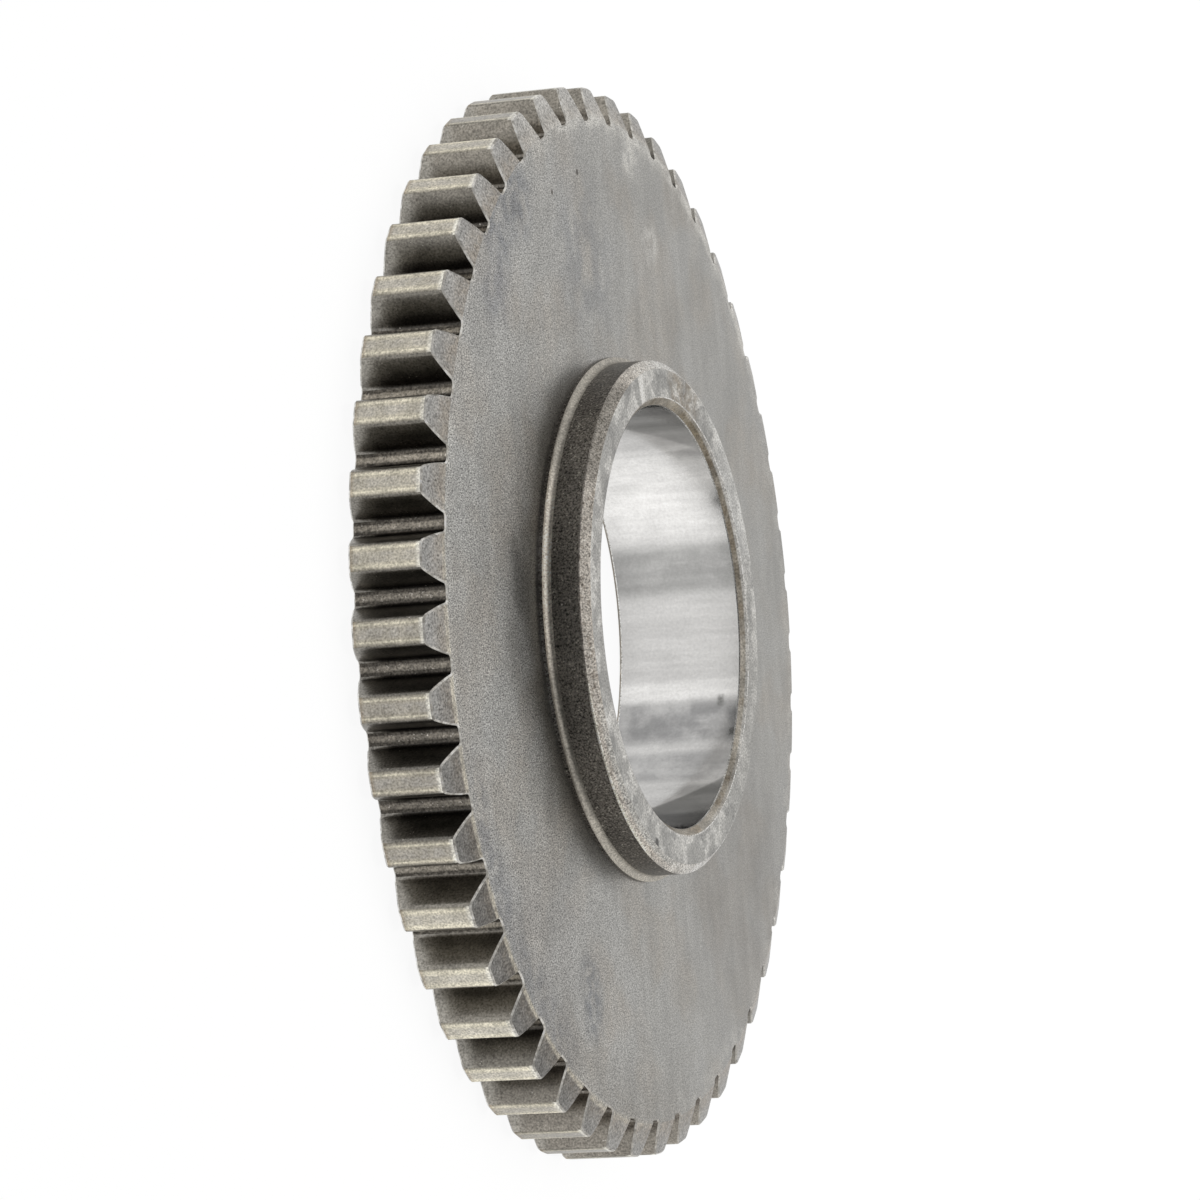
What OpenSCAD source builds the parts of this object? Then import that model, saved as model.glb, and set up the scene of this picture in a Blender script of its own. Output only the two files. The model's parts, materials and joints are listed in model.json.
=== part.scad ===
// Silent chain sprocket: one machined steel wheel with a toothed rim, a raised hub and a through bore.
// It lies on its back face. Z runs up the wheel's axis from the back face to the hub's front face.
// The origin is the centre of the bore on the back face. All lengths are in millimetres.

/* [Toothed rim] */
// chain pitch the teeth are cut for, measured along the chords of the pitch circle
chain_pitch = 9.525; // [9:0.025:12.7]
// number of teeth round the rim
teeth = 48; // [44:1:72]
// flank angle from the radius where the flank crosses the pitch circle
flank_angle = 25; // [20:0.5:28]
// tooth thickness along the pitch circle, flank to flank with sharp tips
tooth_thickness = 3.64; // [3:0.02:4.2]
// how far the tooth tips stand outside the pitch circle
tip_above_pitch = 0.18; // [0:0.02:0.6]
// tooth depth from the tip to the floor of the tooth space
tooth_depth = 4.8; // [4:0.1:5.4]
// radius of the rounded tooth tip corners
tip_corner_r = 1; // [0.3:0.1:1.2]
// radius in the corners of the tooth space floor
floor_corner_r = 0.7; // [0.3:0.1:0.9]
// width of the rim from back face to front face
rim_width = 12.7; // [10:0.1:25.4]
// how far each tooth end is cut back at the tip, measured along the axis
end_setback = 1.45; // [0.4:0.05:2.5]
// height above the tooth floor at which the slanted tooth ends start
end_start = 0.4; // [0.1:0.1:1]

/* [Hub] */
// outside diameter of the raised hub
hub_d = 70.1; // [66:0.1:90]
// height of the hub above the rim's front face
hub_height = 6.5; // [4:0.05:20]
// radius of the hollow round the foot of the hub
foot_r = 1; // [0.9:0.1:1.6]
// height of the small step between the rim's front face and that hollow
step_height = 0.5; // [0.2:0.1:0.8]
// how far the small step stands out from the hub's side
step_width = 0.8; // [0.4:0.1:0.8]
// chamfer round the hub's front face
hub_chamfer = 1.15; // [0.2:0.05:1.4]

/* [Bore] */
// diameter of the through bore
bore_d = 57.8; // [20:0.1:60]
// chamfer at the bore's front end
bore_front_chamfer = 1; // [0.2:0.1:1.2]
// chamfer at the bore's back end
bore_back_chamfer = 0.5; // [0.2:0.1:2]

/* [Hidden] */
// segments that make a full turn of the round surfaces
round_fn = 180;
// straight steps along each flank curve
flank_steps = 6;
// straight steps round each tip corner and each floor corner
corner_steps = 4;
// straight steps across the hollow round the foot of the hub
foot_steps = 6;
steel = [0.56, 0.56, 0.55];
pitch_r = chain_pitch / 2 / sin(180 / teeth);
tip_r = pitch_r + tip_above_pitch;
floor_r = tip_r - tooth_depth;
base_r = pitch_r * cos(flank_angle);
hub_r = hub_d / 2;
bore_r = bore_d / 2;
full_height = rim_width + hub_height;
// half the angle one tooth takes up on the circle its flank curves unwind from
base_half = tooth_thickness / 2 / pitch_r * 180 / PI + tan(flank_angle) * 180 / PI - flank_angle;
// length of the unwound line at the middle of a tip corner, and where the corner meets the flank
tip_mid_len = sqrt(pow(tip_r - tip_corner_r, 2) - pow(base_r, 2));
tip_len = tip_mid_len + tip_corner_r;
// the same for the floor corner, whose middle lies in the tooth space
floor_mid_len = sqrt(pow(floor_r + floor_corner_r, 2) - pow(base_r, 2));
floor_len = floor_mid_len - floor_corner_r;
// overlap of one body into the next
sink = 2;
// how far cutting shapes reach past the part
past = 1;

// turn, in degrees, of the unwound line for a length of it
function unwound(len) = len / base_r * 180 / PI;

// point on a flank for a length of the unwound line
function flank_point(len) =
    let (a = base_half - unwound(len))
    [base_r * cos(a) - len * sin(a), base_r * sin(a) + len * cos(a)];

// direction in which the flank faces for a length of the unwound line
function flank_facing(len) = base_half - unwound(len) + 90;

// middle of a corner whose circle touches the flank at one length and is centred at another
function corner_middle(touch_len, mid_len) =
    let (a = base_half - unwound(touch_len))
    [base_r * cos(a) - mid_len * sin(a), base_r * sin(a) + mid_len * cos(a)];

function direction_of(p) = atan2(p[1], p[0]);

// points along an arc in a number of equal steps
function arc(mid, r, from, to, steps) = [
    for (i = [0:steps])
        let (a = from + (to - from) * i / steps)
        [mid[0] + r * cos(a), mid[1] + r * sin(a)]
];

tip_mid = corner_middle(tip_len, tip_mid_len);
floor_mid = corner_middle(floor_len, floor_mid_len);

// one side of a tooth, from the floor of the tooth space to the tip corner
tooth_side = concat(
    arc(floor_mid, floor_corner_r, direction_of(floor_mid) + 180, flank_facing(floor_len) + 180, corner_steps),
    [for (i = [1:flank_steps - 1]) flank_point(floor_len + (tip_len - floor_len) * i / flank_steps)],
    arc(tip_mid, tip_corner_r, flank_facing(tip_len), direction_of(tip_mid), corner_steps)
);

// a whole tooth, run from the space before it to the space after it
one_tooth = concat(
    [for (p = tooth_side) [p[0], -p[1]]],
    [[tip_r, 0]],
    [for (i = [len(tooth_side) - 1:-1:0]) tooth_side[i]]
);

function turned(p, a) = [p[0] * cos(a) - p[1] * sin(a), p[0] * sin(a) + p[1] * cos(a)];

module toothed_outline() {
    polygon([for (k = [0:teeth - 1]) for (p = one_tooth) turned(p, k * 360 / teeth)]);
}

// plain turned shape of the rim with both slanted tooth ends
module rim_turning() {
    start_r = floor_r + end_start;
    reach = tip_r + past;
    drop = end_setback * (reach - start_r) / (tip_r - start_r);
    rotate_extrude($fn = round_fn)
        polygon([
            [0, 0],
            [start_r, 0],
            [reach, drop],
            [reach, rim_width - drop],
            [start_r, rim_width],
            [0, rim_width]
        ]);
}

module toothed_rim() {
    intersection() {
        linear_extrude(height = rim_width)
            toothed_outline();
        rim_turning();
    }
}

module hub() {
    hollow_turn = acos((foot_r - step_width) / foot_r);
    hollow_mid = [hub_r + foot_r, rim_width + step_height + foot_r * sin(hollow_turn)];
    rotate_extrude($fn = round_fn)
        polygon(concat(
            [[0, rim_width - sink]],
            [[hub_r + step_width, rim_width - sink]],
            arc(hollow_mid, foot_r, 180 + hollow_turn, 180, foot_steps),
            [[hub_r, full_height - hub_chamfer]],
            [[hub_r - hub_chamfer, full_height]],
            [[0, full_height]]
        ));
}

module bore_cut() {
    rotate_extrude($fn = round_fn)
        polygon([
            [0, -past],
            [bore_r + bore_back_chamfer + past, -past],
            [bore_r, bore_back_chamfer],
            [bore_r, full_height - bore_front_chamfer],
            [bore_r + bore_front_chamfer + past, full_height + past],
            [0, full_height + past]
        ]);
}

module sprocket() {
    color(steel)
        difference() {
            union() {
                toothed_rim();
                hub();
            }
            bore_cut();
        }
}

sprocket();
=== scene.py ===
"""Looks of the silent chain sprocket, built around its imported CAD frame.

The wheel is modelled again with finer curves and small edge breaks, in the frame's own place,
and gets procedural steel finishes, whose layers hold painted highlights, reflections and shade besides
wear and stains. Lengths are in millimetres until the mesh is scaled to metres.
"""

import json
import logging
import math
from dataclasses import dataclass, field
from enum import Enum, IntEnum

import bmesh
import bpy
from bmesh.types import BMEdge, BMesh, BMFace, BMVert
from mathutils import Matrix, Vector

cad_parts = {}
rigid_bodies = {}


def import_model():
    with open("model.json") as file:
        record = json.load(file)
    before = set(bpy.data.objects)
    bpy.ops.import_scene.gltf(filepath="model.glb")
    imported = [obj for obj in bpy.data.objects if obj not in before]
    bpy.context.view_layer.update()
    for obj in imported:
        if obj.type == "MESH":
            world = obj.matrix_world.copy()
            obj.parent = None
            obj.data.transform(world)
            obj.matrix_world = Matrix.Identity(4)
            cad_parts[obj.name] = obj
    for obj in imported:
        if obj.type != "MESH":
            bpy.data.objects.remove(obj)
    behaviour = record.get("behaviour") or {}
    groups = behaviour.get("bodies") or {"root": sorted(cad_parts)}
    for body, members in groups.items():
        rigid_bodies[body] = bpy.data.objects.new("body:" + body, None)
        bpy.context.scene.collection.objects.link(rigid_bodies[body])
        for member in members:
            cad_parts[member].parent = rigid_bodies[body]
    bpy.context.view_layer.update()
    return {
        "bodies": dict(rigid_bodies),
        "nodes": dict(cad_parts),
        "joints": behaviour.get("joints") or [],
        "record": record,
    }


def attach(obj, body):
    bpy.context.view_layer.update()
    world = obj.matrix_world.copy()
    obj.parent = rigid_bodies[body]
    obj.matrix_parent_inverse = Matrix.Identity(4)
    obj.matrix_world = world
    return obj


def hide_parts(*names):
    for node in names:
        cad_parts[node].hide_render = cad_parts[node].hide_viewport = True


LOG = logging.getLogger("sprocket")
# factors from millimetres to metres, and back
METRES = 0.001
PER_METRE = 1000.0
# how near two lengths lie, in millimetres, to count as the same: strict, usual and loose
STRICT = 1e-4
SAME = 1e-3
LOOSE = 1e-2


class Zone(IntEnum):
    """Surfaces of the wheel that carry their own finish, in the order of its material slots."""

    DISC = 0
    TOOTH_END = 1
    FLANK = 2
    LAND = 3
    FLOOR = 4
    HUB_WALL = 5
    CHAMFER = 6
    HUB_FACE = 7
    BORE = 8
    EDGE = 9
    FOOT = 10
    BORE_RIM = 11


@dataclass
class ToothForm:
    """Outline of one tooth, with flanks that unwind from a base circle.

    All lengths are in millimetres. Floor share places one more point of the floor, as a share of half a
    tooth's turn.
    """

    chain_pitch: float = 9.525
    teeth: int = 48
    flank_angle: float = 25.0
    thickness: float = 3.64
    tip_above_pitch: float = 0.18
    depth: float = 4.8
    tip_corner_r: float = 1.0
    floor_corner_r: float = 0.7
    end_setback: float = 1.45
    end_start: float = 0.4
    flank_steps: int = 8
    corner_steps: int = 6
    floor_share: float = 0.93

    @property
    def pitch_r(self) -> float:
        """Radius of the pitch circle."""
        return self.chain_pitch / 2 / math.sin(math.pi / self.teeth)

    @property
    def tip_r(self) -> float:
        """Radius of the tooth tips."""
        return self.pitch_r + self.tip_above_pitch

    @property
    def floor_r(self) -> float:
        """Radius of the floor of the tooth spaces."""
        return self.tip_r - self.depth

    @property
    def base_r(self) -> float:
        """Radius of the circle that the flanks unwind from."""
        return self.pitch_r * math.cos(math.radians(self.flank_angle))

    @property
    def start_r(self) -> float:
        """Radius at which the slanted tooth ends start."""
        return self.floor_r + self.end_start

    @property
    def base_half(self) -> float:
        """Half the angle that a tooth takes up on its base circle, in radians."""
        angle = math.radians(self.flank_angle)
        return self.thickness / 2 / self.pitch_r + math.tan(angle) - angle

    def off_base(self, touch: float, length: float) -> Vector:
        """Point beside a flank.

        Args:
            touch: length of the unwound line that sets the direction.
            length: how far the point lies along that line.

        Returns:
            The point in the plane of the outline.
        """
        a = self.base_half - touch / self.base_r
        x = self.base_r * math.cos(a) - length * math.sin(a)
        y = self.base_r * math.sin(a) + length * math.cos(a)
        return Vector((x, y))

    def facing(self, length: float) -> float:
        """Direction in which a flank faces at a length of the unwound line."""
        return self.base_half - length / self.base_r + math.pi / 2

    def corner(self, middle: Vector, r: float, start: float, end: float) -> list[Vector]:
        """Points round a corner of the outline.

        Args:
            middle: the corner's centre.
            r: its radius.
            start: first angle, in radians.
            end: last angle, in radians.

        Returns:
            The points from start to end.
        """
        turns = [start + (end - start) * i / self.corner_steps for i in range(self.corner_steps + 1)]
        return [middle + r * Vector((math.cos(a), math.sin(a))) for a in turns]

    def side(self) -> list[Vector]:
        """Works out one side of a tooth.

        Returns:
            The points from the floor of the tooth space to the end of the tip corner.
        """
        tip_mid_len = math.sqrt((self.tip_r - self.tip_corner_r) ** 2 - self.base_r**2)
        tip_len = tip_mid_len + self.tip_corner_r
        floor_mid_len = math.sqrt((self.floor_r + self.floor_corner_r) ** 2 - self.base_r**2)
        floor_len = floor_mid_len - self.floor_corner_r
        floor_mid = self.off_base(floor_len, floor_mid_len)
        tip_mid = self.off_base(tip_len, tip_mid_len)
        towards_floor = math.atan2(floor_mid.y, floor_mid.x) + math.pi
        towards_tip = math.atan2(tip_mid.y, tip_mid.x)
        points = self.corner(floor_mid, self.floor_corner_r, towards_floor, self.facing(floor_len) + math.pi)
        for i in range(1, self.flank_steps):
            length = floor_len + (tip_len - floor_len) * i / self.flank_steps
            points.append(self.off_base(length, length))
        points += self.corner(tip_mid, self.tip_corner_r, self.facing(tip_len), towards_tip)
        return self.with_start(points)

    def with_start(self, points: list[Vector]) -> list[Vector]:
        """Adds the point where the outline crosses the start of the slanted end.

        Args:
            points: one side of a tooth, from the floor to the tip.

        Returns:
            The same points with the crossing among them.
        """
        for i in range(len(points) - 1):
            low, high = points[i].length, points[i + 1].length
            if low < self.start_r - STRICT and high > self.start_r + STRICT:
                share = (self.start_r - low) / (high - low)
                between = points[i].lerp(points[i + 1], share)
                return points[: i + 1] + [between.normalized() * self.start_r] + points[i + 1:]
        return points

    def outline(self) -> list[Vector]:
        """Works out one whole tooth with half a tooth space on each side.

        Returns:
            The points from the middle of one space to the middle of the next.
        """
        half = math.pi / self.teeth
        turns = (half, half * self.floor_share)
        rising = [self.floor_r * Vector((math.cos(a), math.sin(a))) for a in turns] + self.side()
        tip = [Vector((self.tip_r, 0.0))]
        return [Vector((p.x, -p.y)) for p in rising] + tip + rising[::-1]

    def drop(self, r: float) -> float:
        """How far the tooth end lies below the rim's face at a radius."""
        return max(0.0, r - self.start_r) * self.end_setback / (self.tip_r - self.start_r)


@dataclass
class WheelBlank:
    """Turned shape of the disc, hub and bore. All lengths are in millimetres."""

    rim_width: float = 12.7
    hub_r: float = 35.05
    hub_height: float = 6.5
    foot_r: float = 1.0
    step_height: float = 0.5
    step_width: float = 0.8
    hub_chamfer: float = 1.15
    bore_r: float = 28.9
    bore_front_chamfer: float = 1.0
    bore_back_chamfer: float = 0.5
    foot_steps: int = 8

    @property
    def full_height(self) -> float:
        """Height from the back face to the hub's front face."""
        return self.rim_width + self.hub_height

    @property
    def disc_inner_r(self) -> float:
        """Radius at which the flat disc face ends at the hub's foot."""
        return self.hub_r + self.step_width

    def section(self) -> list[tuple[float, float]]:
        """Works out the turned section.

        Returns:
            Radius and height of each corner, from the disc face over the hub and the bore to the back face.
        """
        turn = math.acos((self.foot_r - self.step_width) / self.foot_r)
        middle_r = self.hub_r + self.foot_r
        middle_z = self.rim_width + self.step_height + self.foot_r * math.sin(turn)
        points = [(self.disc_inner_r, self.rim_width)]
        for i in range(self.foot_steps + 1):
            a = math.pi + turn * (1 - i / self.foot_steps)
            points.append((middle_r + self.foot_r * math.cos(a), middle_z + self.foot_r * math.sin(a)))
        points += [
            (self.hub_r, self.full_height - self.hub_chamfer),
            (self.hub_r - self.hub_chamfer, self.full_height),
            (self.bore_r + self.bore_front_chamfer, self.full_height),
            (self.bore_r, self.full_height - self.bore_front_chamfer),
            (self.bore_r, self.bore_back_chamfer),
            (self.bore_r + self.bore_back_chamfer, 0.0),
            (self.disc_inner_r, 0.0),
        ]
        return points


@dataclass
class SprocketWheel:
    """The whole wheel: one sector is modelled, then turned round the axis.

    Breaks, margins and the welding distance are in millimetres and the smooth limit in degrees. Upright,
    level, slope and outward are limits of a face's normal that tell its zone.
    """

    tooth: ToothForm = field(default_factory=ToothForm)
    blank: WheelBlank = field(default_factory=WheelBlank)
    sector_steps: int = 8
    end_steps: int = 6
    edge_break: float = 0.2
    ring_break: float = 0.1
    weld: float = 0.0005
    face_margin: float = 0.1
    floor_margin: float = 0.3
    land_margin: float = 1.0
    upright: float = 0.1
    level: float = 0.99
    slope: float = 0.08
    outward: float = 0.86
    smooth_limit: float = 20.0

    def build(self) -> bpy.types.Object:
        """Models the wheel.

        Returns:
            The wheel's object, at the origin, in metres.
        """
        bm = bmesh.new()
        self.model_teeth(bm)
        self.model_blank(bm)
        self.close_faces(bm)
        bmesh.ops.remove_doubles(bm, verts=bm.verts, dist=self.weld)
        self.repeat_sector(bm)
        bmesh.ops.recalc_face_normals(bm, faces=bm.faces)
        self.sort_zones(bm)
        self.break_edges(bm)
        self.smooth_shading(bm)
        bmesh.ops.scale(bm, vec=(METRES,) * 3, verts=bm.verts)
        mesh = bpy.data.meshes.new("sprocket_wheel")
        bm.to_mesh(mesh)
        bm.free()
        wheel = bpy.data.objects.new("sprocket_wheel", mesh)
        bpy.context.scene.collection.objects.link(wheel)
        return wheel

    def model_teeth(self, bm: BMesh) -> None:
        """Adds the toothed side of one sector, with its slanted ends.

        Args:
            bm: the sector.
        """
        row = [bm.verts.new((p.x, p.y, 0.0)) for p in self.tooth.outline()]
        edges = [bm.edges.new(pair) for pair in zip(row, row[1:])]
        raised = bmesh.ops.extrude_edge_only(bm, edges=edges)
        top = [g for g in raised["geom"] if isinstance(g, BMVert)]
        bmesh.ops.translate(bm, vec=(0, 0, self.blank.rim_width), verts=top)
        for v in bm.verts:
            drop = self.tooth.drop(v.co.xy.length)
            v.co.z += drop if v.co.z < self.blank.rim_width / 2 else -drop

    def model_blank(self, bm: BMesh) -> None:
        """Adds the turned surfaces of one sector.

        Args:
            bm: the sector.
        """
        half = math.pi / self.tooth.teeth
        start = Matrix.Rotation(-half, 3, "Z")
        row = [bm.verts.new(start @ Vector((r, 0.0, z))) for r, z in self.blank.section()]
        edges = [bm.edges.new(pair) for pair in zip(row, row[1:])]
        bmesh.ops.spin(
            bm,
            geom=row + edges,
            cent=(0, 0, 0),
            axis=(0, 0, 1),
            angle=2 * half,
            steps=self.sector_steps,
            use_duplicate=False,
        )

    def close_faces(self, bm: BMesh) -> None:
        """Adds the flat ring and the tooth end of one sector, at the front and the back.

        Args:
            bm: the sector.
        """
        inner_r = self.blank.disc_inner_r
        for height in (self.blank.rim_width, 0.0):
            bm.verts.ensure_lookup_table()
            bm.edges.ensure_lookup_table()
            flat = [v for v in bm.verts if abs(v.co.z - height) < STRICT]
            inner = sorted((v for v in flat if abs(v.co.xy.length - inner_r) < SAME), key=self.turn)
            rim = sorted((v for v in flat if v.co.xy.length > self.tooth.floor_r - LOOSE), key=self.turn)
            left = [v for v in rim if self.turn(v) < 0]
            right = [v for v in rim if self.turn(v) > 0]
            arc = self.arc_across(bm, left[-1], right[0], height)
            spokes = [bm.edges.new((inner[0], left[0])), bm.edges.new((inner[-1], right[-1]))]
            rows = [e for row in (inner, left, right) for e in self.edges_between(bm, row)]
            bmesh.ops.edgeloop_fill(bm, edges=arc + spokes + rows)
            slant = [e for e in bm.edges if self.on_slant(e, height)]
            bmesh.ops.edgeloop_fill(bm, edges=arc + slant)

    @staticmethod
    def turn(v: BMVert) -> float:
        """Angle of a vertex round the axis."""
        return math.atan2(v.co.y, v.co.x)

    @staticmethod
    def edges_between(bm: BMesh, row: list[BMVert]) -> list[BMEdge]:
        """Edges that join each vertex of a row to the next one."""
        return [e for e in (bm.edges.get(pair) for pair in zip(row, row[1:])) if e is not None]

    def arc_across(self, bm: BMesh, first: BMVert, last: BMVert, height: float) -> list[BMEdge]:
        """Adds the arc across a tooth at which its slanted end starts.

        Args:
            bm: the sector.
            first: vertex on one flank.
            last: vertex on the other flank.
            height: height of the face.

        Returns:
            The arc's edges.
        """
        a, b = self.turn(first), self.turn(last)
        r = self.tooth.start_r
        turns = [a + (b - a) * i / self.end_steps for i in range(1, self.end_steps)]
        between = [bm.verts.new((r * math.cos(t), r * math.sin(t), height)) for t in turns]
        row = [first, *between, last]
        return [bm.edges.new(pair) for pair in zip(row, row[1:])]

    def on_slant(self, e: BMEdge, height: float) -> bool:
        """Tells whether an edge bounds the slanted tooth end at a face.

        Args:
            e: edge of the sector.
            height: height of the face.

        Returns:
            True for an edge of the outline beyond the start of the slant, on that side of the wheel.
        """
        if any(v.co.xy.length < self.tooth.start_r - SAME for v in e.verts):
            return False
        if all(abs(v.co.z - height) < STRICT for v in e.verts):
            return False
        return all(abs(v.co.z - height) < self.tooth.end_setback + self.face_margin for v in e.verts)

    def repeat_sector(self, bm: BMesh) -> None:
        """Turns the sector round the axis and joins the copies.

        Args:
            bm: the sector, which becomes the whole wheel.
        """
        copies = self.tooth.teeth - 1
        bmesh.ops.spin(
            bm,
            geom=bm.verts[:] + bm.edges[:] + bm.faces[:],
            cent=(0, 0, 0),
            axis=(0, 0, 1),
            angle=2 * math.pi * copies / self.tooth.teeth,
            steps=copies,
            use_duplicate=True,
        )
        bmesh.ops.remove_doubles(bm, verts=bm.verts, dist=self.weld)

    def zone_of(self, f: BMFace) -> Zone:
        """Finds the finish zone of a face, from where it lies and the way it faces.

        Args:
            f: face of the wheel.

        Returns:
            The zone.
        """
        centre = f.calc_center_median()
        r = centre.xy.length
        outward = f.normal.xy.dot(centre.xy.normalized()) if r > 0 else 0.0
        if r > self.tooth.floor_r - self.floor_margin and abs(f.normal.z) < self.upright:
            return self.rim_zone(r, outward)
        if r > self.tooth.start_r:
            return Zone.TOOTH_END
        if abs(f.normal.z) > self.level:
            on_hub = abs(centre.z - self.blank.full_height) <= self.face_margin
            return Zone.HUB_FACE if on_hub else Zone.DISC
        if r < self.blank.bore_r + LOOSE:
            return Zone.BORE
        if r < self.blank.bore_r + self.blank.bore_front_chamfer:
            return Zone.BORE_RIM
        if r < self.blank.hub_r - LOOSE:
            return Zone.CHAMFER
        return Zone.FOOT if f.normal.z > self.slope else Zone.HUB_WALL

    def rim_zone(self, r: float, outward: float) -> Zone:
        """Finds the finish zone of a face on the toothed side.

        Args:
            r: radius of the face's middle.
            outward: how far it faces away from the axis, from -1 to 1.

        Returns:
            The zone.
        """
        if outward <= self.outward:
            return Zone.FLANK
        return Zone.LAND if r > self.tooth.pitch_r - self.land_margin else Zone.FLOOR

    def sort_zones(self, bm: BMesh) -> None:
        """Writes each face's finish zone as its material index."""
        for f in bm.faces:
            f.material_index = int(self.zone_of(f))

    def break_edges(self, bm: BMesh) -> None:
        """Breaks the edges of the tooth ends and the turned edges of the hub and the bore a little.

        Args:
            bm: the wheel.
        """
        bm.edges.ensure_lookup_table()
        outline, rings = [], []
        for e in bm.edges:
            if len(e.link_faces) != 2:
                continue
            zones = {f.material_index for f in e.link_faces}
            if zones & {Zone.DISC, Zone.TOOTH_END} and zones & {Zone.FLANK, Zone.LAND, Zone.FLOOR}:
                outline.append(e)
            elif len(zones) == 2 and zones & {Zone.CHAMFER, Zone.BORE_RIM}:
                rings.append(e)
        breaks = ((outline, self.edge_break, Zone.EDGE), (rings, self.ring_break, Zone.CHAMFER))
        for edges, width, zone in breaks:
            made = bmesh.ops.bevel(
                bm,
                geom=edges,
                offset=width,
                offset_type="OFFSET",
                segments=1,
                profile=0.5,
                affect="EDGES",
                clamp_overlap=True,
                material=-1,
            )
            for f in made["faces"]:
                f.material_index = int(zone)

    def smooth_shading(self, bm: BMesh) -> None:
        """Shades curved surfaces smooth and keeps the true edges sharp.

        Args:
            bm: the wheel.
        """
        flat = {Zone.DISC, Zone.TOOTH_END, Zone.HUB_FACE, Zone.CHAMFER, Zone.EDGE}
        limit = math.radians(self.smooth_limit)
        for f in bm.faces:
            f.smooth = True
        for e in bm.edges:
            if len(e.link_faces) != 2:
                continue
            zones = {f.material_index for f in e.link_faces}
            mixed = len(zones) == 2 and zones & flat
            e.smooth = not mixed and e.calc_face_angle(0.0) < limit


Colour = tuple[float, float, float]
Socket = bpy.types.NodeSocket
WHOLE = (1.0, 1.0, 1.0)
NOWHERE = (0.0, 0.0, 0.0)
LEVEL_ONLY = (1.0, 1.0, 0.0)


class Pattern(Enum):
    """What a span of a layer is measured along."""

    RADIUS = "millimetres from the axis"
    PLANE = "millimetres along a direction"
    ACROSS = "1 at the middle of a tooth, -1 at the middle of a tooth space"
    SIDE = "1 on one side of the wheel, -1 on the other"
    BLOTCH = "random value from 0 to 1"
    SPOT = "millimetres from a point"


@dataclass(frozen=True)
class Span:
    """A stretch of a pattern over which a layer fades in."""

    pattern: Pattern
    start: float
    end: float
    at: Colour = NOWHERE
    centre: float | None = None


@dataclass(frozen=True)
class Layer:
    """Wear, dirt, a darker tone, a painted highlight or painted shade that tints the steel where all its
    spans hold.
    """

    name: str
    spans: tuple[Span, ...]
    colour: Colour
    amount: float
    patchy: float = 0.3
    size: float = 1.5


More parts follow.
